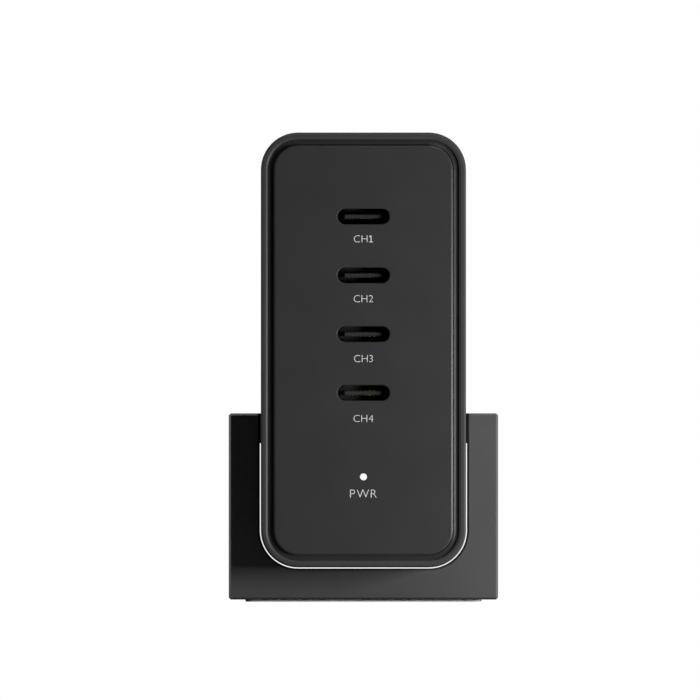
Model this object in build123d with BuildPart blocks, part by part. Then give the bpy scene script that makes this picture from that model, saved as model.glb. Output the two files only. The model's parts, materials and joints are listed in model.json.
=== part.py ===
from build123d import *
import os
from math import sqrt

# Multi port desktop charger, held upright in a slotted stand.
# Millimetres. +Z is up, the ports face -Y, +X is to the right of someone facing the ports.
# The origin is on the desk, under the middle of the charger.

os.makedirs("parts", exist_ok=True)

# Charger housing. Setbacks and depths at the front are measured from the panel's face, which stands proud
# of the rim.
charger_width = 34.2
charger_height = 72.5
charger_depth = 72.0
charger_corner_radius = 6.2
housing_wall = 2.2
rim_wall = 1.15
rim_setback = 0.28
mouth_depth = 3.2
rim_chamfer = 0.33
rim_inner_chamfer = 0.33
rim_inner_fall = 0.13
rear_chamfer = 0.8

# Front cap: an outer channel, a raised bead inside it, and a recess for the panel
cap_clearance = 0.05
channel_width = 0.47
channel_depth = 0.82
bead_chamfer = 0.33
bead_fall = 0.16
bead_land = 0.03
bead_setback = 0.63
cap_rib_thickness = 1.6
cap_rib_end_gap = 9.0
cap_rib_inset = 3.5

# Front panel: its face is the front of the charger
panel_gap = 0.14
panel_thickness = 1.3
panel_chamfer = 0.28
panel_fall = 0.1

# Charging ports, counted from the top
port_count = 4
port_pitch = 9.8
top_port_drop = 14.0
port_slot_width = 8.67
port_slot_height = 2.6
port_slot_chamfer = 0.16

# Receptacle in each port
receptacle_width = 8.94
receptacle_height = 3.16
receptacle_wall = 0.3
receptacle_length = 6.8
receptacle_clearance = 0.1
receptacle_setback = 0.05
tongue_width = 6.69
tongue_thickness = 0.7
tongue_setback = 0.7
tongue_tip_chamfer = 0.15
tongue_corner_chamfer = 0.27
tongue_base_length = 1.6
contact_count = 8
contact_pitch = 0.7
contact_width = 0.25
contact_thickness = 0.04
contact_length = 3.0
contact_setback = 0.6

# Status light
light_rise = 15.1
light_diameter = 1.15
light_clearance = 0.03
light_shank_diameter = 2.2
light_air_gap = 0.1
led_width = 1.6
led_height = 0.8
led_thickness = 0.7

# Mains inlet, a two pole figure of eight socket
inlet_rise = 14.0
inlet_nose_width = 17.0
inlet_nose_height = 11.0
inlet_corner_radius = 2.0
inlet_clearance = 0.1
inlet_lip = 1.0
inlet_flange_thickness = 1.5
inlet_depth = 13.2
socket_depth = 11.0
socket_lobe_radius = 4.05
socket_lobe_spacing = 6.0
socket_waist_height = 6.4
pin_diameter = 2.36
pin_spacing = 8.6
pin_setback = 1.2
pin_tip_chamfer = 0.5
tag_width = 1.6
tag_thickness = 0.5
tag_bend_radius = 1.0
tag_first_length = 2.4
tag_spacing = 1.8

# Boards, and what carries their heat to the housing
port_board_thickness = 1.2
port_board_clearance = 0.6
board_thickness = 1.6
board_edge_clearance = 0.3
board_end_clearance = 0.5
rib_clearance = 0.1
rib_thickness = 1.2
rib_overlap = 1.5
spreader_thickness = 0.8
spreader_corner = 2.0
spreader_end_gap = 2.0
left_pad_thickness = 1.0
right_pad_thickness = 2.0
pad_inset = 2.0

# Parts on the main board
part_gap = 1.2
board_margin = 3.0
output_can_diameter = 6.3
output_can_height = 9.0
bulk_can_diameter = 12.0
bulk_can_height = 19.0
bulk_can_count = 2
inductor_size = 6.6
inductor_height = 4.2
inductor_corner = 0.6
chip_size = 5.0
chip_height = 1.1
transformer_width = 26.0
transformer_plate = 4.0
transformer_post = 8.0
choke_width = 20.0
choke_height = 16.0
choke_plate = 3.0
choke_post = 6.0
winding_clearance = 0.3
bridge_length = 9.0
bridge_thickness = 3.6
bridge_height = 11.0
transistor_length = 4.6
transistor_width = 5.0
transistor_height = 1.0
transistor_count = 2
filter_core_length = 12.0
filter_core_width = 10.4
filter_core_leg = 3.0
filter_core_height = 5.0
filter_winding_build = 0.8
filter_winding_length = 5.4
film_capacitor_thickness = 5.0
film_capacitor_length = 13.0
film_capacitor_height = 11.0
fuse_thickness = 4.0
fuse_length = 8.5
fuse_height = 8.0
box_corner = 0.5

# Stand: a block with a slot for the charger, two grip strips and a foot pad
stand_wall = 5.19
stand_height = 31.05
stand_depth = 40.0
stand_chamfer = 0.35
slot_gap = 0.16
grip_height = 5.0
grip_end_gap = 5.0
grip_seat_depth = 1.2
foot_inset = 2.75
foot_corner_radius = 1.5
foot_recess = 0.8
foot_protrusion = 0.35
foot_edge_chamfer = 0.2
foot_clearance = 0.1

# Heights and depths worked out from the sizes above
front_y = -charger_depth / 2
rear_y = charger_depth / 2
slot_floor_z = foot_protrusion + stand_wall
charger_bottom_z = slot_floor_z + slot_gap
charger_mid_z = charger_bottom_z + charger_height / 2
stand_top_z = foot_protrusion + stand_height
stand_width = charger_width + 2 * (slot_gap + stand_wall)
grip_length = stand_depth - 2 * grip_end_gap
foot_width = stand_width - 2 * foot_inset
foot_length = stand_depth - 2 * foot_inset
cap_inset = rim_wall + cap_clearance
bead_inset = cap_inset + channel_width
recess_inset = bead_inset + bead_chamfer + bead_land
panel_inset = recess_inset + panel_gap
receptacle_front = panel_thickness + receptacle_setback
port_board_front = receptacle_front + receptacle_length
port_board_back = port_board_front + port_board_thickness
port_offsets = [charger_height / 2 - top_port_drop - port_pitch * i for i in range(port_count)]
light_offset = light_rise - charger_height / 2
cavity_half_width = charger_width / 2 - housing_wall
cavity_half_height = charger_height / 2 - housing_wall
cavity_corner_radius = charger_corner_radius - housing_wall
pad_left_x = -cavity_half_width + spreader_thickness
board_back_x = pad_left_x + left_pad_thickness
board_face_x = board_back_x + board_thickness
spreader_right_x = cavity_half_width - spreader_thickness
cap_rib_height = 2 * (cavity_half_height - cap_rib_end_gap)


def front_at(depth):
    """Plane parallel to the panel's face and depth behind it, facing forwards."""
    return Plane(origin=(0, front_y + depth, charger_mid_z), x_dir=(1, 0, 0), z_dir=(0, -1, 0))


def rear_at(depth):
    """Plane parallel to the rear face and depth inside it, on the inlet's axis, facing back."""
    return Plane(
        origin=(0, rear_y - depth, charger_bottom_z + inlet_rise), x_dir=(-1, 0, 0), z_dir=(0, 1, 0)
    )


def side_at(x, y=0, z=0):
    """Plane across the charger at x, facing +X: its first axis runs back, its second runs up."""
    return Plane(origin=(x, y, charger_mid_z + z), x_dir=(0, 1, 0), z_dir=(1, 0, 0))


def outline(inset, mode=Mode.ADD):
    """The charger's rounded outline, drawn in from its outer face by inset."""
    return RectangleRounded(
        charger_width - 2 * inset, charger_height - 2 * inset, charger_corner_radius - inset, mode=mode
    )


def cavity_half_height_at(x):
    """Half the height of the housing's cavity at a distance x from its middle."""
    into_corner = max(abs(x) - (cavity_half_width - cavity_corner_radius), 0)
    return cavity_half_height - cavity_corner_radius + sqrt(cavity_corner_radius**2 - into_corner**2)


def save(piece, name):
    """Labels a finished piece and writes it as its own file."""
    piece.part.label = name
    export_step(piece.part, f"parts/{name}.step")


# Stand block: one slotted block with broken edges, two grip seats and a recess for the foot pad
with BuildPart() as stand_block:
    with BuildSketch(Plane.XZ.offset(stand_depth / 2)):
        with Locations((0, foot_protrusion + stand_height / 2)):
            Rectangle(stand_width, stand_height)
        with Locations((0, charger_mid_z)):
            outline(-slot_gap, mode=Mode.SUBTRACT)
    extrude(amount=-stand_depth)
    end_edges = (
        stand_block.faces().sort_by(Axis.Y)[0].edges() + stand_block.faces().sort_by(Axis.Y)[-1].edges()
    )
    long_edges = stand_block.edges().filter_by(Axis.Y)
    corner_edges = long_edges.group_by(Axis.Z)[-1] + long_edges.group_by(Axis.Z)[0]
    chamfer(end_edges + corner_edges, stand_chamfer)
    with BuildSketch(Plane.XY.offset(stand_top_z)):
        for side in (-1, 1):
            with Locations((side * (charger_width / 2 + slot_gap), 0)):
                Rectangle(2 * grip_seat_depth, grip_length)
    extrude(amount=-grip_height, mode=Mode.SUBTRACT)
    with BuildSketch(Plane.XY.offset(foot_protrusion)):
        RectangleRounded(
            foot_width + 2 * foot_clearance,
            foot_length + 2 * foot_clearance,
            foot_corner_radius + foot_clearance,
        )
    extrude(amount=foot_recess, mode=Mode.SUBTRACT)
save(stand_block, "stand_block")

# Foot pad: one anti slip pad let into the underside of the block
with BuildPart() as stand_foot_pad:
    with BuildSketch(Plane.XY):
        RectangleRounded(foot_width, foot_length, foot_corner_radius)
    extrude(amount=foot_protrusion + foot_recess)
    chamfer(stand_foot_pad.faces().sort_by(Axis.Z)[0].edges(), foot_edge_chamfer)
save(stand_foot_pad, "stand_foot_pad")

# Grip strips: they fill the top of the gap on both sides and hold the charger
for side, side_name in ((-1, "left"), (1, "right")):
    with BuildPart() as grip_strip:
        with BuildSketch(Plane.XY.offset(stand_top_z)):
            with Locations((side * (charger_width / 2 + (slot_gap + grip_seat_depth) / 2), 0)):
                Rectangle(slot_gap + grip_seat_depth, grip_length)
        extrude(amount=-grip_height)
    save(grip_strip, f"grip_strip_{side_name}")

# Housing: a deep tub, open at the front, with a rebate for the cap and an opening for the inlet
with BuildPart() as housing_shell:
    with BuildSketch(front_at(rim_setback)):
        outline(0)
    extrude(amount=rim_setback - charger_depth)
    chamfer(housing_shell.faces().sort_by(Axis.Y)[0].edges(), rim_chamfer)
    chamfer(housing_shell.faces().sort_by(Axis.Y)[-1].edges(), rear_chamfer)
    with BuildSketch(front_at(0)):
        outline(rim_wall)
    extrude(amount=-mouth_depth, mode=Mode.SUBTRACT)
    rim = housing_shell.faces().sort_by(Axis.Y)[0]
    chamfer(rim.inner_wires()[0].edges(), rim_inner_chamfer, rim_inner_fall, reference=rim)
    with BuildSketch(front_at(mouth_depth)):
        outline(housing_wall)
    extrude(amount=mouth_depth + housing_wall - charger_depth, mode=Mode.SUBTRACT)
    with BuildSketch(rear_at(0)):
        RectangleRounded(
            inlet_nose_width + 2 * inlet_clearance,
            inlet_nose_height + 2 * inlet_clearance,
            inlet_corner_radius + inlet_clearance,
        )
    extrude(amount=-housing_wall, mode=Mode.SUBTRACT)
    # Two ribs hold the main board against the heat pad behind it
    rib_x = board_face_x + rib_clearance
    rib_root = cavity_half_height + housing_wall / 2
    rib_tip = cavity_half_height_at(board_back_x) - board_edge_clearance - rib_overlap
    rib_length = charger_depth - housing_wall - port_board_back - board_end_clearance
    with BuildSketch(side_at(rib_x)):
        for up in (-1, 1):
            with Locations((rear_y - housing_wall - rib_length / 2, up * (rib_root + rib_tip) / 2)):
                Rectangle(rib_length, rib_root - rib_tip)
    extrude(amount=rib_thickness)
save(housing_shell, "housing_shell")

# Front cap: closes the housing's mouth, carries the panel, and bears on the port board with two ribs
with BuildPart() as front_bezel:
    with BuildSketch(front_at(channel_depth)):
        outline(cap_inset)
    extrude(amount=channel_depth - mouth_depth)
    with BuildSketch(front_at(channel_depth)):
        outline(bead_inset)
    extrude(amount=channel_depth - bead_setback)
    bead = front_bezel.faces().sort_by(Axis.Y)[0]
    chamfer(bead.edges(), bead_chamfer, bead_fall, reference=bead)
    with BuildSketch(front_at(bead_setback)):
        outline(recess_inset)
    extrude(amount=bead_setback - panel_thickness, mode=Mode.SUBTRACT)
    with BuildSketch(front_at(mouth_depth)):
        with GridLocations(2 * (cavity_half_width - cap_rib_inset), 0, 2, 1):
            Rectangle(cap_rib_thickness, cap_rib_height)
    extrude(amount=mouth_depth - port_board_front)
    with BuildSketch(front_at(panel_thickness)):
        with Locations([(0, z) for z in port_offsets]):
            Rectangle(
                receptacle_width + 2 * receptacle_clearance, receptacle_height + 2 * receptacle_clearance
            )
        with Locations((0, light_offset)):
            Circle(light_shank_diameter / 2 + light_clearance)
    extrude(amount=panel_thickness - mouth_depth, mode=Mode.SUBTRACT)
save(front_bezel, "front_bezel")

# Front panel: a plate let into the cap, with a slot for each port and a hole for the light
with BuildPart() as front_panel:
    with BuildSketch(front_at(0)):
        outline(panel_inset)
    extrude(amount=-panel_thickness)
    panel_face = front_panel.faces().sort_by(Axis.Y)[0]
    chamfer(panel_face.edges(), panel_chamfer, panel_fall, reference=panel_face)
    with BuildSketch(front_at(0)):
        with Locations([(0, z) for z in port_offsets]):
            SlotOverall(port_slot_width, port_slot_height)
    extrude(amount=-panel_thickness, mode=Mode.SUBTRACT)
    slot_rims = front_panel.faces().sort_by(Axis.Y)[0].inner_wires()
    chamfer([edge for rim in slot_rims for edge in rim.edges()], port_slot_chamfer)
    with BuildSketch(front_at(0)):
        with Locations((0, light_offset)):
            Circle(light_diameter / 2 + light_clearance)
    extrude(amount=-panel_thickness, mode=Mode.SUBTRACT)
save(front_panel, "front_panel")

# Light pipe: from the panel's face to just in front of the lamp, its shoulder behind the panel
with BuildPart() as light_pipe:
    pipe_end = port_board_front - led_thickness - light_air_gap
    for start, end, diameter in (
        (0, panel_thickness, light_diameter),
        (panel_thickness, pipe_end, light_shank_diameter),
    ):
        with BuildSketch(front_at(start)):
            with Locations((0, light_offset)):
                Circle(diameter / 2)
        extrude(amount=start - end)
save(light_pipe, "light_pipe")

# Receptacles: a drawn shell, a moulded tongue whose base closes the back of the shell, and two rows of
# contacts on the tongue
shell_bore_width = receptacle_width - 2 * receptacle_wall
shell_bore_height = receptacle_height - 2 * receptacle_wall
bore_straight = shell_bore_width - shell_bore_height
tongue_tip = receptacle_front + tongue_setback
for number, port_z in enumerate(port_offsets, start=1):
    with BuildPart() as port_shell:
        with BuildSketch(front_at(receptacle_front)):
            with Locations((0, port_z)):
                SlotOverall(receptacle_width, receptacle_height)
                SlotOverall(shell_bore_width, shell_bore_height, mode=Mode.SUBTRACT)
        extrude(amount=-receptacle_length)
    save(port_shell, f"port_shell_{number}")

    with BuildPart() as port_tongue:
        with BuildSketch(front_at(tongue_tip)):
            with Locations((0, port_z)):
                Rectangle(tongue_width, tongue_thickness)
        extrude(amount=tongue_tip - port_board_front)
        tip = port_tongue.faces().sort_by(Axis.Y)[0]
        chamfer(tip.edges().filter_by(Axis.Z), tongue_corner_chamfer)
        tip = port_tongue.faces().sort_by(Axis.Y)[0]
        chamfer(tip.edges().filter_by(Axis.X), tongue_tip_chamfer)
        with BuildSketch(front_at(port_board_front)):
            with Locations((0, port_z)):
                Rectangle(bore_straight, shell_bore_height)
                with GridLocations(bore_straight, 0, 2, 1):
                    RegularPolygon(shell_bore_height / 2, 6, rotation=30)
        extrude(amount=tongue_base_length)
    save(port_tongue, f"port_tongue_{number}")

    with BuildPart() as port_contacts:
        contact_row_spacing = tongue_thickness + contact_thickness
        with BuildSketch(front_at(tongue_tip + contact_setback)):
            with Locations((0, port_z)):
                with GridLocations(contact_pitch, contact_row_spacing, contact_count, 2):
                    Rectangle(contact_width, contact_thickness)
        extrude(amount=-contact_length)
    save(port_contacts, f"port_contacts_{number}")

# Port board: upright behind the cap, carrying the receptacles and the lamp
with BuildPart() as port_board:
    with BuildSketch(front_at(port_board_front)) as board_outline:
        Rectangle(
            2 * (cavity_half_width - port_board_clearance), 2 * (cavity_half_height - port_board_clearance)
        )
        chamfer(board_outline.vertices(), cavity_corner_radius)
    extrude(amount=-port_board_thickness)
save(port_board, "port_board")

with BuildPart() as status_led:
    with BuildSketch(front_at(port_board_front)):
        with Locations((0, light_offset)):
            Rectangle(led_width, led_height)
    extrude(amount=led_thickness)
save(status_led, "status_led")

# Mains inlet: a flanged moulding seated on the inside of the rear wall
with BuildPart() as inlet_body:
    with BuildSketch(rear_at(0)):
        RectangleRounded(inlet_nose_width, inlet_nose_height, inlet_corner_radius)
    extrude(amount=-housing_wall)
    with BuildSketch(rear_at(housing_wall)):
        Rectangle(inlet_nose_width + 2 * inlet_lip, inlet_nose_height + 2 * inlet_lip)
    extrude(amount=-inlet_flange_thickness)
    with BuildSketch(rear_at(housing_wall + inlet_flange_thickness)):
        Rectangle(inlet_nose_width, inlet_nose_height)
    extrude(amount=housing_wall + inlet_flange_thickness - inlet_depth)
    with BuildSketch(rear_at(0)):
        with GridLocations(socket_lobe_spacing, 0, 2, 1):
            Circle(socket_lobe_radius)
        Rectangle(socket_lobe_spacing, socket_waist_height)
    extrude(amount=-socket_depth, mode=Mode.SUBTRACT)
    with BuildSketch(rear_at(socket_depth)):
        with GridLocations(pin_spacing, 0, 2, 1):
            Circle(pin_diameter / 2)
    extrude(amount=socket_depth - inlet_depth, mode=Mode.SUBTRACT)
save(inlet_body, "inlet_body")

# Inlet pins: two round contacts held in the floor of the socket
with BuildPart() as inlet_pins:
    with BuildSketch(rear_at(pin_setback)):
        with GridLocations(pin_spacing, 0, 2, 1):
            Circle(pin_diameter / 2)
    extrude(amount=pin_setback - inlet_depth)
    chamfer(inlet_pins.faces().group_by(Axis.Y)[-1].edges(), pin_tip_chamfer)
save(inlet_pins, "inlet_pins")

# Inlet tags: a flat strip from the back of each pin, bent aside to the main board
tag_y = rear_y - inlet_depth
tag_z = charger_bottom_z + inlet_rise
with BuildPart() as inlet_tags:
    for index, pin_x in enumerate((-pin_spacing / 2, pin_spacing / 2)):
        turn_y = tag_y - tag_first_length - index * tag_spacing
        with BuildLine() as tag_path:
            FilletPolyline(
                (pin_x, tag_y, tag_z),
                (pin_x, turn_y, tag_z),
                (board_face_x, turn_y, tag_z),
                radius=tag_bend_radius,
            )
        with BuildSketch(Plane(origin=(pin_x, tag_y, tag_z), x_dir=(1, 0, 0), z_dir=(0, -1, 0))):
            Rectangle(tag_thickness, tag_width)
        sweep(path=tag_path.wire())
save(inlet_tags, "inlet_tags")

# Main board: upright along the left side, from the port board to the rear wall
board_half_height = cavity_half_height_at(board_back_x) - board_edge_clearance
board_front_y = front_y + port_board_back
board_rear_y = rear_y - housing_wall - board_end_clearance
with BuildPart() as main_board:
    with BuildSketch(side_at(board_back_x)):
        with Locations(((board_front_y + board_rear_y) / 2, 0)):
            Rectangle(board_rear_y - board_front_y, 2 * board_half_height)
    extrude(amount=board_thickness)
save(main_board, "main_board")

# Heat spreaders: flat plates on the inside of both side walls
spreader_front_y = board_front_y + spreader_end_gap
spreader_rear_y = board_rear_y - spreader_end_gap
spreader_length = spreader_rear_y - spreader_front_y
spreader_height = 2 * (cavity_half_height - cavity_corner_radius)
spreader_mid_y = (spreader_front_y + spreader_rear_y) / 2
for start_x, side_name in ((-cavity_half_width, "left"), (spreader_right_x, "right")):
    with BuildPart() as heat_spreader:
        with BuildSketch(side_at(start_x)) as spreader_outline:
            with Locations((spreader_mid_y, 0)):
                Rectangle(spreader_length, spreader_height)
            chamfer(spreader_outline.vertices(), spreader_corner)
        extrude(amount=spreader_thickness)
    save(heat_spreader, f"heat_spreader_{side_name}")

with BuildPart() as heat_pad_left:
    with BuildSketch(side_at(pad_left_x)):
        with Locations((spreader_mid_y, 0)):
            Rectangle(spreader_length - 2 * pad_inset, spreader_height - 2 * pad_inset)
    extrude(amount=left_pad_thickness)
save(heat_pad_left, "heat_pad_left")


def winding_build(width, plate, post):
    """How far a winding stands out from its core's middle leg."""
    return (width - post) / 2 - plate - winding_clearance


# Layout of the main board: the first two columns follow the port board, the last two end at the
# rear wall, and the wound parts fill the room between them; rows run down from the top
row_top = board_half_height - board_margin
output_y = board_front_y + part_gap + output_can_diameter / 2
inductor_y = output_y + output_can_diameter / 2 + part_gap + inductor_size / 2
middle_start_y = inductor_y + inductor_size / 2 + part_gap
last_start_y = board_rear_y - part_gap - max(film_capacitor_thickness, fuse_thickness, bridge_thickness)
rear_start_y = last_start_y - part_gap - max(bulk_can_diameter, filter_core_length)
middle_length = rear_start_y - part_gap - middle_start_y
middle_y = middle_start_y + middle_length / 2


def can_capacitor(name, y, z, diameter, height):
    """A round can standing on the main board."""
    with BuildPart() as can:
        with BuildSketch(side_at(board_face_x, y, z)):
            Circle(diameter / 2)
        extrude(amount=height)
    save(can, name)


def boxed_part(name, places, length, width, height, corner):
    """Block shaped parts on the main board, one at each place, with their upright corners cut."""
    with BuildPart() as block:
        with BuildSketch(side_at(board_face_x)) as footprint:
            with Locations(places):
                Rectangle(length, width)
            chamfer(footprint.vertices(), corner)
        extrude(amount=height)
    save(block, name)


def wound_core(name, y, z, length, width, height, plate, post):
    """A core with three legs between two plates, wound round its middle leg; length is overall."""
    window = (width - post) / 2 - plate
    build = winding_build(width, plate, post)
    core_length = length - 2 * build
    with BuildPart() as core:
        with BuildSketch(side_at(board_face_x, y, z)):
            Rectangle(core_length, width)
        extrude(amount=height)
        with BuildSketch(side_at(board_face_x + plate, y, z)):
            with GridLocations(0, post + window, 1, 2):
                Rectangle(core_length, window)
        extrude(amount=height - 2 * plate, mode=Mode.SUBTRACT)
    save(core, f"{name}_core")
    with BuildPart() as winding:
        with BuildSketch(side_at(board_face_x + plate, y, z)):
            Rectangle(length, post + 2 * build)
            Rectangle(core_length, post, mode=Mode.SUBTRACT)
        extrude(amount=height - 2 * plate)
    save(winding, f"{name}_winding")


# Secondary side: one smoothing can and one inductor for each port, and the control chips below them
for number, port_z in enumerate(port_offsets, start=1):
    can_capacitor(f"output_capacitor_{number}", output_y, port_z, output_can_diameter, output_can_height)
    boxed_part(
        f"output_inductor_{number}",
        [(inductor_y, port_z)],
        inductor_size,
        inductor_size,
        inductor_height,
        inductor_corner,
    )
chip_z = port_offsets[-1] - max(inductor_size, output_can_diameter) / 2 - part_gap - chip_size / 2
boxed_part(
    "control_chips", [(output_y, chip_z), (inductor_y, chip_z)], chip_size, chip_size, chip_height, box_corner
)

# Middle: the transformer at the top, the power switches below it, the choke at the bottom
transformer_z = row_top - transformer_width / 2
transformer_height = spreader_right_x - right_pad_thickness - board_face_x
wound_core(
    "transformer",
    middle_y,
    transformer_z,
    middle_length,
    transformer_width,
    transformer_height,
    transformer_plate,
    transformer_post,
)
switch_z = transformer_z - transformer_width / 2 - part_gap - transistor_width / 2
switch_start_y = middle_start_y + transistor_length / 2
boxed_part(
    "power_transistors",
    [(switch_start_y + i * (transistor_length + part_gap), switch_z) for i in range(transistor_count)],
    transistor_length,
    transistor_width,
    transistor_height,
    box_corner,
)
wound_core(
    "boost_choke",
    middle_y,
    switch_z - transistor_width / 2 - part_gap - choke_width / 2,
    middle_length,
    choke_width,
    choke_height,
    choke_plate,
    choke_post,
)

# Gap pad between the transformer and the right hand heat spreader
pad_length = middle_length - 2 * winding_build(transformer_width, transformer_plate, transformer_post)
with BuildPart() as heat_pad_right:
    with BuildSketch(side_at(spreader_right_x)):
        with Locations((middle_y, transformer_z)):
            Rectangle(pad_length - 2 * pad_inset, transformer_width - 2 * pad_inset)
    extrude(amount=-right_pad_thickness)
save(heat_pad_right, "heat_pad_right")

# Mains side: the bulk cans and the line filter, with the film capacitor, fuse and rectifier behind them
for index in range(bulk_can_count):
    bulk_z = row_top - bulk_can_diameter / 2 - index * (bulk_can_diameter + part_gap)
    can_capacitor(
        f"bulk_capacitor_{index + 1}",
        rear_start_y + bulk_can_diameter / 2,
        bulk_z,
        bulk_can_diameter,
        bulk_can_height,
    )
filter_y = rear_start_y + filter_core_length / 2
filter_top = row_top - bulk_can_count * (bulk_can_diameter + part_gap)
filter_z = filter_top - filter_winding_build - filter_core_width / 2
filter_leg_spacing = filter_core_width - filter_core_leg
with BuildPart() as filter_core:
    with BuildSketch(side_at(board_face_x + filter_winding_build, filter_y, filter_z)):
        Rectangle(filter_core_length, filter_core_width)
        Rectangle(
            filter_core_length - 2 * filter_core_leg,
            filter_core_width - 2 * filter_core_leg,
            mode=Mode.SUBTRACT,
        )
    extrude(amount=filter_core_height)
save(filter_core, "line_filter_core")

with BuildPart() as filter_windings:
    with BuildSketch(side_at(board_face_x, filter_y, filter_z)):
        with GridLocations(0, filter_leg_spacing, 1, 2):
            Rectangle(filter_winding_length, filter_core_leg + 2 * filter_winding_build)
    extrude(amount=filter_core_height + 2 * filter_winding_build)
    with BuildSketch(side_at(board_face_x + filter_winding_build, filter_y, filter_z)):
        with GridLocations(0, filter_leg_spacing, 1, 2):
            Rectangle(filter_winding_length, filter_core_leg)
    extrude(amount=filter_core_height, mode=Mode.SUBTRACT)
save(filter_windings, "line_filter_windings")

last_row_z = row_top
for name, thickness, length, height in (
    ("film_capacitor", film_capacitor_thickness, film_capacitor_length, film_capacitor_height),
    ("mains_fuse", fuse_thickness, fuse_length, fuse_height),
    ("bridge_rectifier", bridge_thickness, bridge_length, bridge_height),
):
    place = (last_start_y + thickness / 2, last_row_z - length / 2)
    boxed_part(name, [place], thickness, length, height, box_corner)
    last_row_z = last_row_z - length - part_gap
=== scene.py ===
import json
import logging
import math
from collections.abc import Iterable
from dataclasses import dataclass, field
from enum import Enum

import bmesh
import bpy
from mathutils import Matrix, Vector


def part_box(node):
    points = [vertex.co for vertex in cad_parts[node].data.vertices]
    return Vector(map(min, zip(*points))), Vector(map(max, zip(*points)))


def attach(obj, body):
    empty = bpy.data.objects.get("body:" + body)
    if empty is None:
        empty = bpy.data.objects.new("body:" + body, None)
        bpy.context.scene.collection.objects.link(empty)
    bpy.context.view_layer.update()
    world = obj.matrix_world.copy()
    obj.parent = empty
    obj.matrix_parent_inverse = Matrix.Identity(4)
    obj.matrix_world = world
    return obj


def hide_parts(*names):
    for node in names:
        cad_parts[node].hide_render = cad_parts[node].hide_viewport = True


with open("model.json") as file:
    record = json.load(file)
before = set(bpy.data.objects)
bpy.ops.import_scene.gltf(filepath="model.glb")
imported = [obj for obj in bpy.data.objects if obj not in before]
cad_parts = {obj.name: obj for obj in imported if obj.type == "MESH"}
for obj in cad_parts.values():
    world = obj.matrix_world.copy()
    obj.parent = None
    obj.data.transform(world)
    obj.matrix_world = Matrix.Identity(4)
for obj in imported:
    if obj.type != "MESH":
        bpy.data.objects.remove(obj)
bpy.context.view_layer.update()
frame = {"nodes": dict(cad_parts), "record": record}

# An upright desktop charger in its slotted stand, dressed and lit. Sizes are millimetres until they
# reach Blender, which works in metres.
LOG = logging.getLogger("desktop_charger")
MM = 0.001
BODY = "root"
# Numbers of the ports, from the top, and of the output stages behind them
PORTS = range(1, 5)
# How far drawn lines run along Y against their width, and the span of noise that patches use
ROLLED_STRETCH = 0.04
PATCH_RANGE = (0.3, 0.7)
# Octaves of noise in the grain and in the patches
GRAIN_DETAIL = 2.0
PATCH_DETAIL = 3.0
# Points closer than this are one point, in metres
SEAL_GAP = 1e-7
# The built-in font's figure one is a plain bar. This outline, with a flag and a foot, stands for it
FIGURE_ONE = (
    (0.0, 0.0),
    (0.56, 0.0),
    (0.56, 0.12),
    (0.35, 0.12),
    (0.35, 1.0),
    (0.24, 1.0),
    (0.0, 0.84),
    (0.0, 0.70),
    (0.23, 0.84),
    (0.23, 0.12),
    (0.0, 0.12),
)
SLOT_OF = {part["node"]: part["material_slot"] for part in frame["record"]["subparts"]}


def linear(hex_colour: str) -> tuple[float, float, float, float]:
    """Turns an sRGB hex colour to linear light.

    Args:
        hex_colour: A hash sign and six hex digits.

    Returns:
        Linear red, green and blue, and an alpha of 1.
    """
    channels = [int(hex_colour[i : i + 2], 16) / 255 for i in (1, 3, 5)]
    return (*[c / 12.92 if c <= 0.04045 else ((c + 0.055) / 1.055) ** 2.4 for c in channels], 1.0)


def per_mm(size_mm: float) -> float:
    """Texture scale at which one cell of a pattern measures size_mm."""
    return 1 / (size_mm * MM)


def add_node(
    tree: bpy.types.NodeTree, kind: str, inputs: dict[str, object] | None = None, **settings: object
) -> bpy.types.Node:
    """Adds a node to a tree, with its settings, values and links.

    Args:
        tree: The tree that gets the node.
        kind: The node's Blender type.
        inputs: A value, or an output socket to link, for each input by name.
        **settings: Properties of the node itself, set before its inputs.

    Returns:
        The new node.
    """
    node = tree.nodes.new(kind)
    for name, value in settings.items():
        setattr(node, name, value)
    for name, value in (inputs or {}).items():
        socket = next(s for s in node.inputs if s.enabled and s.name == name)
        if isinstance(value, bpy.types.NodeSocket):
            tree.links.new(value, socket)
        else:
            socket.default_value = value
    return node


def out(node: bpy.types.Node, name: str) -> bpy.types.NodeSocket:
    """The node's live output of that name."""
    return next(s for s in node.outputs if s.enabled and s.name == name)


class Surface(Enum):
    """How a surface was made, which gives its fine relief."""

    GRAINED = "moulded or blasted, with an even grain"
    ROLLED = "rolled or drawn, with fine lines along one axis"
    WOVEN = "laminated, with the weave of glass cloth"
    SINTERED = "pressed and fired, with small pits"


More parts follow.
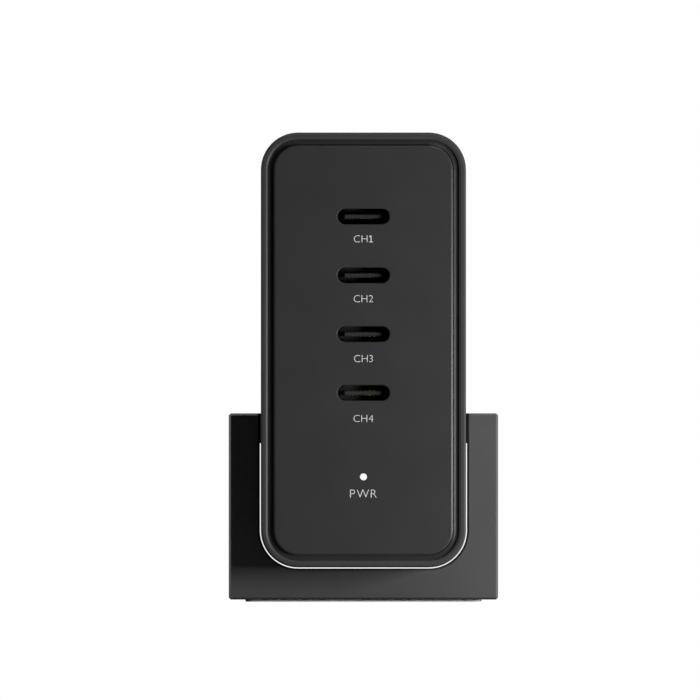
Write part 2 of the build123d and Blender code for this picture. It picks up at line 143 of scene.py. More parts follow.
@dataclass(frozen=True)
class Finish:
    """One material as its maker would describe it.

    Attributes:
        name: What the material is.
        colour: Its colour, as sRGB hex.
        shade: The colour that it drifts to in patches, as sRGB hex.
        roughness: Middle of its roughness.
        spread: How far the roughness drifts each way.
        grain_mm: Size of one grain, line, thread or pit.
        relief_mm: Height of that relief.
        patch_mm: Size of the patches of colour and roughness.
        metallic: 1 for bare metal, 0 for the rest.
        specular: Strength of the surface reflection.
        surface: How the surface was made.
        glow: Strength of its own light.
    """

    name: str
    colour: str
    shade: str
    roughness: float
    spread: float
    grain_mm: float
    relief_mm: float
    patch_mm: float = 9.0
    metallic: float = 0.0
    specular: float = 0.5
    surface: Surface = Surface.GRAINED
    glow: float = 0.0

    def relief(self, tree: bpy.types.NodeTree, place: bpy.types.NodeSocket) -> bpy.types.NodeSocket:
        """Adds the fine relief of this surface.

        Args:
            tree: The material's tree.
            place: Object coordinates.

        Returns:
            The relief's height, from 0 to 1.
        """
        scale = per_mm(self.grain_mm)
        if self.surface is Surface.SINTERED:
            pits = add_node(tree, "ShaderNodeTexVoronoi", {"Vector": place, "Scale": scale})
            return out(pits, "Distance")
        if self.surface is Surface.WOVEN:
            warp, weft = (
                add_node(
                    tree,
                    "ShaderNodeTexWave",
                    {"Vector": place, "Scale": scale / math.tau},
                    bands_direction=axis,
                )
                for axis in ("X", "Z")
            )
            threads = add_node(tree, "ShaderNodeMath", operation="MAXIMUM")
            for thread, socket in zip((warp, weft), threads.inputs):
                tree.links.new(out(thread, "Fac"), socket)
            return out(threads, "Value")
        stretch = (1.0, ROLLED_STRETCH, 1.0) if self.surface is Surface.ROLLED else (1.0, 1.0, 1.0)
        drawn = add_node(tree, "ShaderNodeMapping", {"Vector": place, "Scale": stretch})
        grain = add_node(
            tree,
            "ShaderNodeTexNoise",
            {"Vector": out(drawn, "Vector"), "Scale": scale, "Detail": GRAIN_DETAIL},
        )
        return out(grain, "Fac")

    def material(self) -> bpy.types.Material:
        """Builds the node material: drifting colour and roughness, and the relief as a bump."""
        material = bpy.data.materials.new(self.name)
        material.use_nodes = True
        tree = material.node_tree
        place = out(add_node(tree, "ShaderNodeTexCoord"), "Object")
        patches = add_node(
            tree,
            "ShaderNodeTexNoise",
            {"Vector": place, "Scale": per_mm(self.patch_mm), "Detail": PATCH_DETAIL},
        )
        drift = add_node(
            tree,
            "ShaderNodeMapRange",
            {"Value": out(patches, "Fac"), "From Min": PATCH_RANGE[0], "From Max": PATCH_RANGE[1]},
        )
        colour = add_node(
            tree,
            "ShaderNodeMix",
            {"Factor": out(drift, "Result"), "A": linear(self.colour), "B": linear(self.shade)},
            data_type="RGBA",
        )
        roughness = add_node(
            tree,
            "ShaderNodeMapRange",
            {
                "Value": out(patches, "Fac"),
                "From Min": PATCH_RANGE[0],
                "From Max": PATCH_RANGE[1],
                "To Min": self.roughness - self.spread,
                "To Max": self.roughness + self.spread,
            },
        )
        bump = add_node(
            tree, "ShaderNodeBump", {"Height": self.relief(tree, place), "Distance": self.relief_mm * MM}
        )
        shader = tree.nodes["Principled BSDF"]
        shader.inputs["Metallic"].default_value = self.metallic
        shader.inputs["Specular IOR Level"].default_value = self.specular
        shader.inputs["Emission Color"].default_value = linear(self.colour)
        shader.inputs["Emission Strength"].default_value = self.glow
        tree.links.new(out(colour, "Result"), shader.inputs["Base Color"])
        tree.links.new(out(roughness, "Result"), shader.inputs["Roughness"])
        tree.links.new(out(bump, "Normal"), shader.inputs["Normal"])
        return material


# One finish for each material slot of the record. The real grain of moulded and blasted surfaces measures a
# few hundredths of a millimetre, too fine for the picture, so grain of 0.25 to 0.4 mm is drawn in its place.
FINISHES: dict[str, Finish] = {
    # Bead blasted, then dyed black: an even, dry dark grey that takes light like slate
    "stand_metal": Finish(
        "black_anodised_aluminium", "#363637", "#383839", 0.40, 0.015, 0.30, 0.003, specular=0.60
    ),
    # Soft pad of pale grey rubber with faint patches, drawn near white as painted light: the paleness stands
    # in for light thrown up from the floor into its shaded place under the block
    "foot_rubber": Finish("pale_silicone_rubber_painted_light", "#EEEEEE", "#E6E6E6", 0.70, 0.05, 0.40, 0.010, specular=0.30),
    # Dense and nearly black, with no shine
    "grip_rubber": Finish("black_grip_rubber", "#2B2B2C", "#262627", 0.80, 0.05, 0.40, 0.008, specular=0.10),
    # Moulded in a spark eroded tool: satin, the grain only just showing
    "housing_plastic": Finish(
        "satin_polycarbonate_housing", "#363636", "#383838", 0.42, 0.015, 0.35, 0.003, specular=0.11
    ),
    # The same resin from a smoother tool, so its edges catch a thinner line of light
    "cap_plastic": Finish(
        "satin_polycarbonate_cap", "#272727", "#292929", 0.36, 0.015, 0.35, 0.002, specular=0.13
    ),
    # Fine plate, nearly matt: flat, soft black, with a thin line of light along its edges
    "panel_plastic": Finish(
        "matt_polycarbonate_panel", "#2F2F2F", "#313131", 0.34, 0.015, 0.35, 0.002, specular=0.14
    ),
    # Milky and lit from behind: a plain white point
    "light_pipe": Finish(
        "opal_polycarbonate", "#E4E4E2", "#DEDEDC", 0.40, 0.05, 0.60, 0.002, specular=0.30, glow=0.1
    ),
    # Near black metal: the mouth of each port drops to black
    "port_metal": Finish(
        "near_black_port_steel", "#1A1A1B", "#1E1E1F", 0.45, 0.06, 0.12, 0.002, metallic=1.0,
        surface=Surface.ROLLED,
    ),
    # Glass filled, so a little grey where it is cut square at the tip
    "tongue_plastic": Finish(
        "black_liquid_crystal_polymer", "#2F2F30", "#2C2C2D", 0.55, 0.05, 0.25, 0.003, specular=0.15
    ),
    # Thin flash of gold, drawn darker as painted shade for its place deep in the port: no more than a warm
    # tinge there
    "contact_metal": Finish(
        "gold_contact_painted_shade", "#9A7C3C", "#8F7235", 0.45, 0.05, 0.10, 0.001, metallic=1.0,
        surface=Surface.ROLLED,
    ),
    # Glossy mask over glass cloth, the weave showing through
    "board_laminate": Finish(
        "solder_masked_laminate", "#1C5238", "#18492F", 0.32, 0.06, 0.80, 0.010, surface=Surface.WOVEN
    ),
    # Cast lens, faintly yellow from the phosphor behind it
    "lamp_resin": Finish("cast_epoxy_lamp", "#EFE6C4", "#E8DDB4", 0.20, 0.04, 0.50, 0.002),
    # Hard black moulding, a shade glossier than the case round it
    "inlet_plastic": Finish(
        "moulded_polyester_inlet", "#1F1F20", "#232324", 0.42, 0.05, 0.30, 0.004, specular=0.25
    ),
    # Bright nickel with faint turning lines
    "pin_metal": Finish(
        "nickel_plated_brass", "#C8C6C0", "#BDBAB2", 0.22, 0.05, 0.15, 0.002, metallic=1.0,
        surface=Surface.ROLLED,
    ),
    # Dull tin, wiped by hand
    "tag_metal": Finish("tinned_copper_strip", "#BDB9AE", "#ADA99D", 0.42, 0.08, 0.40, 0.006, metallic=1.0),
    # Transfer moulded packages: charcoal and dry
    "black_resin": Finish(
        "moulded_epoxy_package", "#242425", "#28282A", 0.62, 0.06, 0.25, 0.006, specular=0.30
    ),
    # Pressed powder: sooty grey with open pores
    "ferrite": Finish(
        "sintered_ferrite", "#3B3B3E", "#333336", 0.70, 0.08, 0.45, 0.012, specular=0.35,
        surface=Surface.SINTERED,
    ),
    # Amber enamel over copper
    "winding_copper": Finish(
        "enamelled_copper_wire", "#B5672F", "#A85A26", 0.30, 0.06, 0.30, 0.002, metallic=1.0
    ),
    # Drawn can, bright with lines along its sides
    "can_metal": Finish(
        "drawn_aluminium_can", "#B4B6B9", "#A9ABAE", 0.35, 0.06, 0.20, 0.003, metallic=1.0,
        surface=Surface.ROLLED,
    ),
    # Flame retardant shell in the usual yellow
    "film_box": Finish("yellow_polyester_box", "#C79A1E", "#BE9018", 0.45, 0.05, 0.30, 0.005),
    # Plain black shell
    "fuse_box": Finish("black_polyamide_box", "#2A2A2B", "#2E2E2F", 0.50, 0.05, 0.30, 0.005, specular=0.30),
    # Mill finish sheet
    "spreader_metal": Finish(
        "rolled_aluminium_sheet", "#C4C6C8", "#B9BBBD", 0.33, 0.06, 0.25, 0.003, metallic=1.0,
        surface=Surface.ROLLED,
    ),
    # Filled silicone, blue grey and waxy
    "heat_pad": Finish("filled_silicone_pad", "#8590A0", "#7B8696", 0.75, 0.06, 0.60, 0.015, specular=0.30),
}

# Pad printed ink: pale grey, lying slightly unevenly on the matt plate
LABEL_INK = Finish(
    "pad_printed_ink", "#C8C8C7", "#BFBFBE", 0.60, 0.06, 0.30, 0.002, patch_mm=1.5, specular=0.15
)


@dataclass
class Workshop:
    """The materials, made once and shared by all sub-assemblies."""

    made: dict[str, bpy.types.Material] = field(default_factory=dict)

    def material(self, finish: Finish) -> bpy.types.Material:
        """The material of a finish, built the first time that it is asked for."""
        if finish.name not in self.made:
            self.made[finish.name] = finish.material()
        return self.made[finish.name]

    def dress(self, node: str) -> None:
        """Gives a CAD node the finish of its slot in the record."""
        finish = FINISHES[SLOT_OF[node]]
        frame["nodes"][node].material_slots[0].material = self.material(finish)
        LOG.info("%s: %s", node, finish.name)

    def add_piece(self, name: str, mesh: bpy.types.Mesh, finish: Finish) -> bpy.types.Object:
        """Adds a piece whose place is in its mesh, and lets it ride with the part.

        Args:
            name: The piece's name.
            mesh: Its mesh, in metres in the part's frame.
            finish: What it is made of.

        Returns:
            The new object.
        """
        mesh.name = name
        mesh.materials.clear()
        mesh.materials.append(self.material(finish))
        piece = bpy.data.objects.new(name, mesh)
        bpy.context.scene.collection.objects.link(piece)
        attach(piece, BODY)
        LOG.info("%s: %s, %d faces", name, finish.name, len(mesh.polygons))
        return piece


def evaluated_mesh(source: bpy.types.Object) -> bpy.types.Mesh:
    """Turns an object with modifiers, or a text, to a plain mesh and removes the object."""
    bpy.context.scene.collection.objects.link(source)
    graph = bpy.context.evaluated_depsgraph_get()
    mesh = bpy.data.meshes.new_from_object(source.evaluated_get(graph))
    bpy.data.objects.remove(source)
    return mesh


def joined(parts: Iterable[tuple[bpy.types.Mesh, Matrix]]) -> bpy.types.Mesh:
    """Joins meshes to one closed mesh with its faces outwards.

    Args:
        parts: Each mesh with its place in the part's frame.

    Returns:
        The joined mesh.
    """
    whole = bmesh.new()
    for mesh, place in parts:
        mesh.transform(place)
        whole.from_mesh(mesh)
    bmesh.ops.recalc_face_normals(whole, faces=whole.faces)
    mesh = bpy.data.meshes.new("joined")
    whole.to_mesh(mesh)
    whole.free()
    return mesh


@dataclass
class SizedTree:
    """A geometry tree whose sizes are named inputs.

    Attributes:
        name: The tree's name.
        inputs: The socket type of each named input.
    """

    name: str
    inputs: dict[str, str]

    def __post_init__(self) -> None:
        """Makes the empty tree with its named inputs and one output."""
        self.tree = bpy.data.node_groups.new(self.name, "GeometryNodeTree")
        for label, kind in self.inputs.items():
            self.tree.interface.new_socket(label, in_out="INPUT", socket_type=kind)
        self.tree.interface.new_socket("Geometry", in_out="OUTPUT", socket_type="NodeSocketGeometry")
        self.given = self.tree.nodes.new("NodeGroupInput").outputs

    def end(self, shape: bpy.types.NodeSocket, smooth: bool) -> None:
        """Ends the tree: instances made real and shaded.

        Args:
            shape: The geometry to end with.
            smooth: Whether its faces shade as one curve.
        """
        real = add_node(self.tree, "GeometryNodeRealizeInstances", {"Geometry": shape})
        shaded = add_node(
            self.tree,
            "GeometryNodeSetShadeSmooth",
            {"Geometry": out(real, "Geometry"), "Shade Smooth": smooth},
        )
        add_node(self.tree, "NodeGroupOutput", {"Geometry": out(shaded, "Geometry")})

    def grow(self, sizes: dict[str, float]) -> bpy.types.Mesh:
        """Evaluates the tree to a plain mesh.

        Args:
            sizes: A value for each named input, in metres where it is a length.

        Returns:
            The mesh, with no modifier left.
        """
        host = bpy.data.objects.new(self.name, bpy.data.meshes.new(self.name))
        modifier = host.modifiers.new(self.name, "NODES")
        modifier.node_group = self.tree
        for item in self.tree.interface.items_tree:
            if item.in_out == "INPUT":
                modifier[item.identifier] = sizes[item.name]
        return evaluated_mesh(host)


@dataclass
class Stand:
    """The slotted block with its grip strips and foot pad."""

    nodes: tuple[str, ...] = ("stand_block", "stand_foot_pad", "grip_strip_left", "grip_strip_right")

    def dress(self, workshop: Workshop) -> None:
        """Gives each piece of the stand its finish."""
        for node in self.nodes:
            workshop.dress(node)


@dataclass
class Case:
    """The charger's housing, front cap and front panel, with the status light."""

    nodes: tuple[str, ...] = ("housing_shell", "front_bezel", "front_panel", "light_pipe")

    def dress(self, workshop: Workshop) -> None:
        """Gives each piece of the case its finish."""
        for node in self.nodes:
            workshop.dress(node)


@dataclass
class Labels:
    """Plain marks printed under each port and under the light.

    Attributes:
        port_words: What stands under each port, from the top.
        port_drop_mm: From the top port's middle down to its label's middle.
        port_pitch_mm: From one port label to the next.
        port_cap_mm: Height of the port labels' letters.
        light_word: What stands under the light.
        light_drop_mm: From the light's middle down to its label's middle.
        light_cap_mm: Height of the light label's letters.
        ink_mm: Thickness of the ink.
        gap: Clear space between two letters, against their height.
        thinning: How far the font's outlines are drawn in, against its size.
    """

    port_words: tuple[str, ...] = ("CH1", "CH2", "CH3", "CH4")
    port_drop_mm: float = 3.72
    port_pitch_mm: float = 9.98
    port_cap_mm: float = 1.17
    light_word: str = "PWR"
    light_drop_mm: float = 2.8
    light_cap_mm: float = 1.35
    ink_mm: float = 0.02
    gap: float = 0.22
    thinning: float = 0.016

    def letter_mesh(self, letter: str) -> bpy.types.Mesh:
        """Makes one letter in the XY plane, from the built-in font or from the outline of the figure one."""
        if letter == "1":
            curve = bpy.data.curves.new(letter, "CURVE")
            curve.dimensions = "2D"
            curve.fill_mode = "BOTH"
            outline = curve.splines.new("POLY")
            outline.points.add(len(FIGURE_ONE) - len(outline.points))
            for point, corner in zip(outline.points, FIGURE_ONE):
                point.co = (*corner, 0.0, 1.0)
            outline.use_cyclic_u = True
        else:
            curve = bpy.data.curves.new(letter, "FONT")
            curve.body = letter
            curve.offset = -self.thinning
        curve.extrude = 1.0
        return evaluated_mesh(bpy.data.objects.new(letter, curve))

    def word_mesh(self, word: str, cap_mm: float, middle: Vector) -> bpy.types.Mesh:
        """Makes one printed word.

        Args:
            word: The letters.
            cap_mm: Height of a capital letter.
            middle: The word's middle, on the panel's face.

        Returns:
            The word as a thin mesh on the panel, facing forwards.
        """
        letters, pen = [], 0.0
        for letter in word:
            mesh = self.letter_mesh(letter)
            low = Vector([min(v.co[i] for v in mesh.vertices) for i in range(3)])
            high = Vector([max(v.co[i] for v in mesh.vertices) for i in range(3)])
            scale = cap_mm * MM / (high.y - low.y)
            mesh.transform(Matrix.Translation((-low.x, -(low.y + high.y) / 2, -(low.z + high.z) / 2)))
            mesh.transform(Matrix.Diagonal((scale, scale, self.ink_mm * MM / (high.z - low.z), 1)))
            letters.append((mesh, pen))
            pen += (high.x - low.x) * scale + self.gap * cap_mm * MM
        half = (pen - self.gap * cap_mm * MM) / 2
        place = Matrix.Translation(middle) @ Matrix.Rotation(math.pi / 2, 4, "X")
        return joined((mesh, place @ Matrix.Translation((start - half, 0.0, 0.0))) for mesh, start in letters)

    def build(self, workshop: Workshop) -> None:
        """Prints all labels on the front panel."""
        panel_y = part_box("front_panel")[0].y
        rows = []
        for number, word in zip(PORTS, self.port_words):
            drop_mm = self.port_drop_mm + (number - 1) * self.port_pitch_mm
            rows.append((f"label_port_{number}", word, self.port_cap_mm, "port_tongue_1", drop_mm))
        rows.append(("label_light", self.light_word, self.light_cap_mm, "light_pipe", self.light_drop_mm))
        for name, word, cap_mm, node, drop_mm in rows:
            low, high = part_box(node)
            middle = Vector(((low.x + high.x) / 2, panel_y, (low.z + high.z) / 2 - drop_mm * MM))
            workshop.add_piece(name, self.word_mesh(word, cap_mm, middle), LABEL_INK)


@dataclass
class Ports:
    """The receptacles, with their contacts made one by one.

    Attributes:
        contacts: Contacts in each of a receptacle's two rows.
        pitch_mm: From one contact to the next.
        width_mm: Width of a contact.
        thickness_mm: How far a contact stands out from the tongue.
        tip_mm: Rounding of a contact's corners.
        tip_points: Points in each of those corners.
    """

    contacts: int = 8
    pitch_mm: float = 0.7
    width_mm: float = 0.25
    thickness_mm: float = 0.04
    tip_mm: float = 0.1
    tip_points: int = 3

    def contact_row(self) -> SizedTree:
        """Builds the tree for one row of contacts, along X and lying on Z = 0."""
        floats = ("First", "Pitch", "Width", "Length", "Thickness", "Tip")
        kinds = {"Count": "NodeSocketInt", **dict.fromkeys(floats, "NodeSocketFloat")}
        row = SizedTree("contact_row", kinds)
        tree, given = row.tree, row.given
        strip = add_node(
            tree,
            "GeometryNodeCurvePrimitiveQuadrilateral",
            {"Width": given["Width"], "Height": given["Length"]},
        )
        rounded = add_node(
            tree,
            "GeometryNodeFilletCurve",
            {"Curve": out(strip, "Curve"), "Radius": given["Tip"], "Count": self.tip_points},
            mode="POLY",
        )
        face = add_node(tree, "GeometryNodeFillCurve", {"Curve": out(rounded, "Curve")}, mode="NGONS")
        raised = add_node(
            tree, "GeometryNodeExtrudeMesh", {"Mesh": out(face, "Mesh"), "Offset Scale": given["Thickness"]}
        )
        under = add_node(tree, "GeometryNodeFlipFaces", {"Mesh": out(face, "Mesh")})
        contact = add_node(tree, "GeometryNodeJoinGeometry")
        for half in (raised, under):
            tree.links.new(out(half, "Mesh"), contact.inputs["Geometry"])
        sealed = add_node(
            tree, "GeometryNodeMergeByDistance", {"Geometry": out(contact, "Geometry"), "Distance": SEAL_GAP}
        )
        start = add_node(tree, "ShaderNodeCombineXYZ", {"X": given["First"]})
        step = add_node(tree, "ShaderNodeCombineXYZ", {"X": given["Pitch"]})
        places = add_node(
            tree,
            "GeometryNodeMeshLine",
            {"Count": given["Count"], "Start Location": out(start, "Vector"), "Offset": out(step, "Vector")},
        )
        copies = add_node(
            tree,
            "GeometryNodeInstanceOnPoints",
            {"Points": out(places, "Mesh"), "Instance": out(sealed, "Geometry")},
        )
        row.end(out(copies, "Instances"), smooth=False)
        return row

    def build(self, workshop: Workshop) -> None:
        """Puts two rows of contacts on each tongue, in place of the plain ones."""
        row = self.contact_row()
        for number in PORTS:
            node = f"port_contacts_{number}"
            low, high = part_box(node)
            sizes = {
                "Count": self.contacts,
                "First": -(self.contacts - 1) / 2 * self.pitch_mm * MM,
                "Pitch": self.pitch_mm * MM,
                "Width": self.width_mm * MM,
                "Length": high.y - low.y,
                "Thickness": self.thickness_mm * MM,
                "Tip": self.tip_mm * MM,
            }
            middle = (low + high) / 2
            upper = Vector((middle.x, middle.y, high.z - sizes["Thickness"]))
            lower = Vector((middle.x, middle.y, low.z + sizes["Thickness"]))
            mesh = joined(
                [
                    (row.grow(sizes), Matrix.Translation(upper)),
                    (row.grow(sizes), Matrix.Translation(lower) @ Matrix.Rotation(math.pi, 4, "Y")),
                ]
            )
            piece = workshop.add_piece(f"contact_rows_{number}", mesh, FINISHES["contact_metal"])
            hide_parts(node)

    def dress(self, workshop: Workshop) -> None:
        """Gives the shells and tongues their finish."""
        for number in PORTS:
            workshop.dress(f"port_shell_{number}")
            workshop.dress(f"port_tongue_{number}")


@dataclass
class Inlet:
    """The mains inlet in the rear wall."""

    nodes: tuple[str, ...] = ("inlet_body", "inlet_pins", "inlet_tags")

    def dress(self, workshop: Workshop) -> None:
        """Gives each piece of the inlet its finish."""
        for node in self.nodes:
            workshop.dress(node)


@dataclass(frozen=True)
class Coil:
    """A winding of round wire on a square former.

    Attributes:
        name: The piece's name.
        node: The plain winding that it stands for.
        axis: The axis that the wire goes round, 0 for X, 1 for Y and 2 for Z.
        wire_mm: Thickness of the wire with its enamel.
        layers: Layers of wire, counted from the outside in.
        formers: How many alike windings the node holds, side by side along the axis after axis.
    """

    name: str
    node: str
    axis: int
    wire_mm: float
    layers: int
    formers: int = 1


@dataclass
class Electronics:
    """The boards and what they carry, with the wound parts made turn by turn.

    Attributes:
        nodes: The pieces that keep their CAD shape.
        coils: The windings that are made of wire.
        former_gap_mm: Clear space between two windings of one node.
        wire_sides: Sides of the wire's section.
        bend_points: Points in each bend of the wire.
        bend_share: Radius of a bend, against the thickness of the wire from there to the inside.
    """

    nodes: tuple[str, ...] = (
        "port_board",
        "status_led",
        "main_board",
        "heat_spreader_left",
        "heat_spreader_right",
        "heat_pad_left",
        "heat_pad_right",
        *[f"output_capacitor_{n}" for n in PORTS],
        *[f"output_inductor_{n}" for n in PORTS],
        "control_chips",
        "transformer_core",
        "power_transistors",
        "boost_choke_core",
        "bulk_capacitor_1",
        "bulk_capacitor_2",
        "line_filter_core",
        "film_capacitor",
        "mains_fuse",
        "bridge_rectifier",
    )
    coils: tuple[Coil, ...] = (
        Coil("transformer_turns", "transformer_winding", 0, 0.94, 5),
        Coil("boost_choke_turns", "boost_choke_winding", 0, 0.92, 4),
        Coil("line_filter_turns", "line_filter_windings", 1, 0.77, 1, 2),
    )
    former_gap_mm: float = 2.8
    wire_sides: int = 8
    bend_points: int = 4
    bend_share: float = 0.6

    def wire_layer(self) -> SizedTree:
        """Builds the tree for one layer: square turns in the XY plane, stacked along Z."""
        floats = ("Length", "Width", "First", "Pitch", "Wire Radius", "Bend")
        kinds = {"Turns": "NodeSocketInt", **dict.fromkeys(floats, "NodeSocketFloat")}
        layer = SizedTree("wire_layer", kinds)
        tree, given = layer.tree, layer.given
        square = add_node(
            tree,
            "GeometryNodeCurvePrimitiveQuadrilateral",
            {"Width": given["Length"], "Height": given["Width"]},
        )
        path = add_node(
            tree,
            "GeometryNodeFilletCurve",
            {"Curve": out(square, "Curve"), "Radius": given["Bend"], "Count": self.bend_points},
            mode="POLY",
        )
        section = add_node(
            tree,
            "GeometryNodeCurvePrimitiveCircle",
            {"Radius": given["Wire Radius"], "Resolution": self.wire_sides},
        )
        turn = add_node(
            tree,
            "GeometryNodeCurveToMesh",
            {"Curve": out(path, "Curve"), "Profile Curve": out(section, "Curve")},
        )
        start = add_node(tree, "ShaderNodeCombineXYZ", {"Z": given["First"]})
        step = add_node(tree, "ShaderNodeCombineXYZ", {"Z": given["Pitch"]})
        places = add_node(
            tree,
            "GeometryNodeMeshLine",
            {"Count": given["Turns"], "Start Location": out(start, "Vector"), "Offset": out(step, "Vector")},
        )
        copies = add_node(
            tree,
            "GeometryNodeInstanceOnPoints",
            {"Points": out(places, "Mesh"), "Instance": out(turn, "Mesh")},
        )
        layer.end(out(copies, "Instances"), smooth=True)
        return layer

    def coil_layers(self, coil: Coil, layer: SizedTree) -> list[tuple[bpy.types.Mesh, Matrix]]:
        """Makes all layers of a coil, each with its place in the part's frame.

        Args:
            coil: The winding.
            layer: The tree for one layer.

        Returns:
            Each layer's mesh and place.
        """
        low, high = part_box(coil.node)
        size, middle = high - low, (low + high) / 2
        stack, across, along = coil.axis, (coil.axis + 2) % 3, (coil.axis + 1) % 3
        gap = self.former_gap_mm * MM if coil.formers > 1 else 0
        former = (size[across] - gap * (coil.formers - 1)) / coil.formers
        wire = coil.wire_mm * MM
        turns = int(size[stack] / wire)
        pitch = (size[stack] - wire) / (turns - 1)
        units = Matrix.Identity(3)
        axes = Matrix([units[k] for k in (along, across, stack)]).transposed()
        parts = []
        for index in range(coil.formers):
            centre = middle.copy()
            centre[across] = low[across] + former / 2 + index * (former + gap)
            place = Matrix.Translation(centre) @ axes.to_4x4()
            for depth in range(coil.layers):
                inset = (2 * depth + 1) * wire
                sizes = {
                    "Turns": turns,
                    "Length": size[along] - inset,
                    "Width": former - inset,
                    "First": -(turns - 1) / 2 * pitch,
                    "Pitch": pitch,
                    "Wire Radius": wire / 2,
                    "Bend": (coil.layers - depth) * wire * self.bend_share,
                }
                parts.append((layer.grow(sizes), place))
        return parts

    def build(self, workshop: Workshop) -> None:
        """Winds each coil, in place of the plain winding."""
        layer = self.wire_layer()
        for coil in self.coils:
            mesh = joined(self.coil_layers(coil, layer))
            piece = workshop.add_piece(coil.name, mesh, FINISHES["winding_copper"])
            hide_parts(coil.node)

    def dress(self, workshop: Workshop) -> None:
        """Gives the boards and the parts on them their finish."""
        for node in self.nodes:
            workshop.dress(node)


@dataclass(frozen=True)
class Softbox:
    """A flat studio lamp.

    Attributes:
        name: The lamp's name.
        place_mm: Where its middle is.
        aim_mm: The point that it faces.
        size_mm: Its width and height.
        watts: Its power.
        spares_floor: Whether it leaves the floor unlit, so that a low lamp makes no bright spot there.
    """

    name: str
    place_mm: tuple[float, float, float]
    aim_mm: tuple[float, float, float]
    size_mm: tuple[float, float]
    watts: float
    spares_floor: bool = False

    def build(self, floor: bpy.types.Object) -> None:
        """Adds the lamp to the scene.

        Args:
            floor: The floor, which the lamp may have to spare.
        """
        lamp = bpy.data.lights.new(self.name, "AREA")
        lamp.shape = "RECTANGLE"
        lamp.size, lamp.size_y = (side * MM for side in self.size_mm)
        lamp.energy = self.watts
        stand = bpy.data.objects.new(self.name, lamp)
        stand.location = Vector(self.place_mm) * MM
        facing = Vector(self.aim_mm) - Vector(self.place_mm)
        stand.rotation_euler = facing.to_track_quat("-Z", "Y").to_euler()
        bpy.context.scene.collection.objects.link(stand)
        if self.spares_floor:
            spared = bpy.data.collections.new(f"spared_by_{self.name}")
            spared.objects.link(floor)
            spared.collection_objects[0].light_linking.link_state = "EXCLUDE"
            stand.light_linking.receiver_collection = spared
        LOG.info("%s: %.2f W", self.name, self.watts)


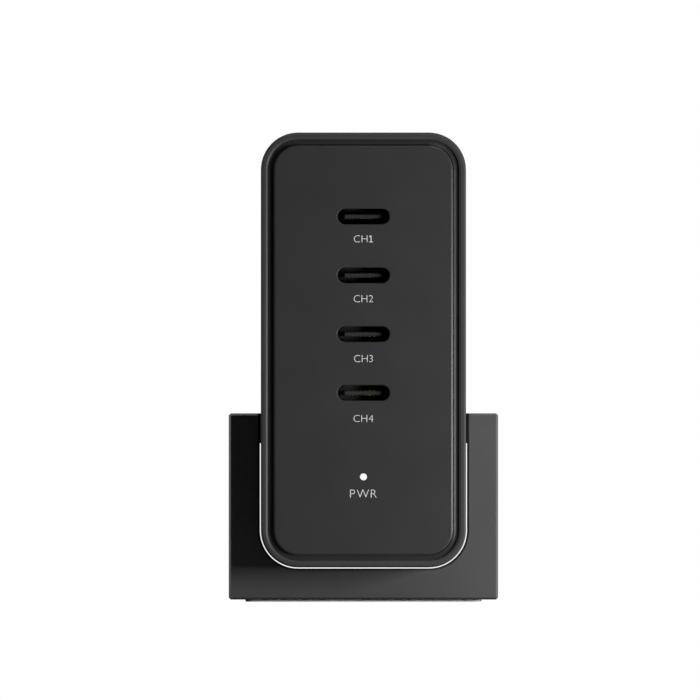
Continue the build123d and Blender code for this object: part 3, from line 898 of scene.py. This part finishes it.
@dataclass
class Studio:
    """White room, pale floor, lamps and camera.

    Attributes:
        photo_side_px: Side of the square picture.
        pixels_per_mm: Scale of the picture in the plane of the charger's front.
        axis_px: Where the charger's middle line meets the floor in the picture.
        camera_distance_mm: How far in front of the origin the camera stands.
        ambient: Strength of the room's own light on the object.
        card: The floor's finish.
        floor_bounce: Its colour for the light that it throws back on the object, as sRGB hex.
        floor_veil: White that the eye sees added to the floor, where 1 is full white.
        floor_clear_mm: Where the floor starts to fade into the room.
        floor_radius_mm: Where the floor ends.
        floor_sides: Sides of the floor's outline.
        cloth: The finish of the wall behind the camera.
        wall_mm: Width and height of the dark wall behind the camera.
        wall_distance_mm: How far in front of the origin that wall stands.
        softboxes: The lamps.
    """

    photo_side_px: float = 700.0
    pixels_per_mm: float = 6.0
    axis_px: tuple[float, float] = (363.43, 601.7)
    camera_distance_mm: float = 500.0
    ambient: float = 0.01
    # Smooth card, pale and without gloss
    card: Finish = Finish("pale_card", "#ECECEB", "#E8E8E7", 0.9, 0.05, 0.8, 0.004, 60.0, specular=0.0)
    floor_bounce: str = "#6A6A6A"
    floor_veil: float = 0.36
    floor_clear_mm: float = 160.0
    floor_radius_mm: float = 420.0
    floor_sides: int = 96
    # Heavy felt that swallows light
    cloth: Finish = Finish("black_felt", "#050505", "#080808", 0.95, 0.03, 2.0, 0.3, 40.0, specular=0.0)
    wall_mm: tuple[float, float] = (2600.0, 2000.0)
    wall_distance_mm: float = 600.0
    softboxes: tuple[Softbox, ...] = (
        Softbox("key", (134, -180, 24), (0, -20, 30), (60, 50), 0.43, spares_floor=True),
        Softbox("low_side", (180, -104, 10), (0, -20, 16), (60, 16), 0.28, spares_floor=True),
        Softbox("high_front", (87, -236, 275), (0, -20, 42), (90, 50), 0.19),
        Softbox("overhead_strip", (0, -32, 330), (0, -32, 40), (250, 24), 0.16),
        Softbox("left_strip", (-278, 4, 66), (0, -20, 42), (60, 220), 0.12),
        Softbox("back_left", (-190, 310, 110), (0, 20, 45), (160, 200), 0.50),
        Softbox("back_right", (190, 310, 110), (0, 20, 45), (160, 200), 0.50),
    )

    def seen(self, tree: bpy.types.NodeTree) -> bpy.types.NodeSocket:
        """Adds the nodes that tell the eye and its reflections from light that falls on the object.

        Args:
            tree: The tree of the room or the floor.

        Returns:
            1 for a ray of the camera, a reflection or a transmission, and 0 for the rest.
        """
        path = add_node(tree, "ShaderNodeLightPath")
        seen = out(path, "Is Camera Ray")
        for ray in ("Is Glossy Ray", "Is Transmission Ray"):
            either = add_node(tree, "ShaderNodeMath", operation="MAXIMUM")
            tree.links.new(seen, either.inputs[0])
            tree.links.new(out(path, ray), either.inputs[1])
            seen = out(either, "Value")
        return seen

    def room(self) -> None:
        """Makes the room: white to the eye and in reflections, dim as a light."""
        world = bpy.data.worlds.new("white_room")
        world.use_nodes = True
        bpy.context.scene.world = world
        tree = world.node_tree
        strength = add_node(
            tree, "ShaderNodeMapRange", {"Value": self.seen(tree), "To Min": self.ambient, "To Max": 1.0}
        )
        background = tree.nodes["Background"]
        background.inputs["Color"].default_value = (1.0, 1.0, 1.0, 1.0)
        tree.links.new(out(strength, "Result"), background.inputs["Strength"])

    def floor(self) -> bpy.types.Object:
        """Makes the pale floor, which fades into the room before it ends and throws little light back."""
        shape = bmesh.new()
        bmesh.ops.create_circle(
            shape, cap_ends=True, segments=self.floor_sides, radius=self.floor_radius_mm * MM
        )
        mesh = bpy.data.meshes.new("floor")
        shape.to_mesh(mesh)
        shape.free()
        material = self.card.material()
        tree = material.node_tree
        shader = tree.nodes["Principled BSDF"]
        card = shader.inputs["Base Color"].links[0].from_socket
        colour = add_node(
            tree,
            "ShaderNodeMix",
            {"Factor": self.seen(tree), "A": linear(self.floor_bounce), "B": card},
            data_type="RGBA",
        )
        tree.links.new(out(colour, "Result"), shader.inputs["Base Color"])
        camera_ray = out(add_node(tree, "ShaderNodeLightPath"), "Is Camera Ray")
        veil = add_node(tree, "ShaderNodeMapRange", {"Value": camera_ray, "To Max": self.floor_veil})
        shader.inputs["Emission Color"].default_value = (1.0, 1.0, 1.0, 1.0)
        tree.links.new(out(veil, "Result"), shader.inputs["Emission Strength"])
        place = out(add_node(tree, "ShaderNodeTexCoord"), "Object")
        radius = add_node(tree, "ShaderNodeVectorMath", operation="LENGTH")
        tree.links.new(place, radius.inputs[0])
        fade = add_node(
            tree,
            "ShaderNodeMapRange",
            {
                "Value": out(radius, "Value"),
                "From Min": self.floor_clear_mm * MM,
                "From Max": self.floor_radius_mm * MM,
                "To Min": 1.0,
                "To Max": 0.0,
            },
            interpolation_type="SMOOTHSTEP",
        )
        tree.links.new(out(fade, "Result"), shader.inputs["Alpha"])
        mesh.materials.append(material)
        floor = bpy.data.objects.new("floor", mesh)
        bpy.context.scene.collection.objects.link(floor)
        return floor

    def wall(self) -> None:
        """Hangs the dark cloth behind the camera, which keeps reflections off the front faces."""
        shape = bmesh.new()
        size = Vector((*self.wall_mm, 1.0)) * MM
        upright = Matrix.Rotation(math.pi / 2, 4, "X") @ Matrix.Diagonal((size.x, size.y, 1.0, 1.0))
        place = Matrix.Translation((0.0, -self.wall_distance_mm * MM, 0.0)) @ upright
        # A unit square, which its place stretches to the wall's size
        bmesh.ops.create_grid(shape, size=0.5, matrix=place)
        mesh = bpy.data.meshes.new("dark_wall")
        shape.to_mesh(mesh)
        shape.free()
        mesh.materials.append(self.cloth.material())
        wall = bpy.data.objects.new("dark_wall", mesh)
        wall.visible_camera = False
        bpy.context.scene.collection.objects.link(wall)

    def camera(self) -> None:
        """Stands the camera straight in front, with the picture's frame and no perspective."""
        data = bpy.data.cameras.new("camera")
        data.type = "ORTHO"
        data.ortho_scale = self.photo_side_px / self.pixels_per_mm * MM
        camera = bpy.data.objects.new("camera", data)
        half = self.photo_side_px / 2
        across = (half - self.axis_px[0]) / self.pixels_per_mm
        up = (self.axis_px[1] - half) / self.pixels_per_mm
        camera.location = Vector((across, -self.camera_distance_mm, up)) * MM
        camera.rotation_euler = (math.pi / 2, 0.0, 0.0)
        bpy.context.scene.collection.objects.link(camera)
        bpy.context.scene.camera = camera

    def build(self) -> None:
        """Sets up the room, floor, lamps, camera and view."""
        self.room()
        floor = self.floor()
        self.wall()
        for softbox in self.softboxes:
            softbox.build(floor)
        self.camera()
        bpy.context.scene.view_settings.view_transform = "Standard"


def main() -> None:
    """Builds and dresses each sub-assembly, then the studio round it."""
    logging.basicConfig(level=logging.INFO, format="%(name)s %(message)s")
    workshop = Workshop()
    ports, electronics = Ports(), Electronics()
    Stand().dress(workshop)
    Case().dress(workshop)
    Labels().build(workshop)
    ports.build(workshop)
    ports.dress(workshop)
    Inlet().dress(workshop)
    electronics.build(workshop)
    electronics.dress(workshop)
    Studio().build()


if __name__ == "__main__":
    main()
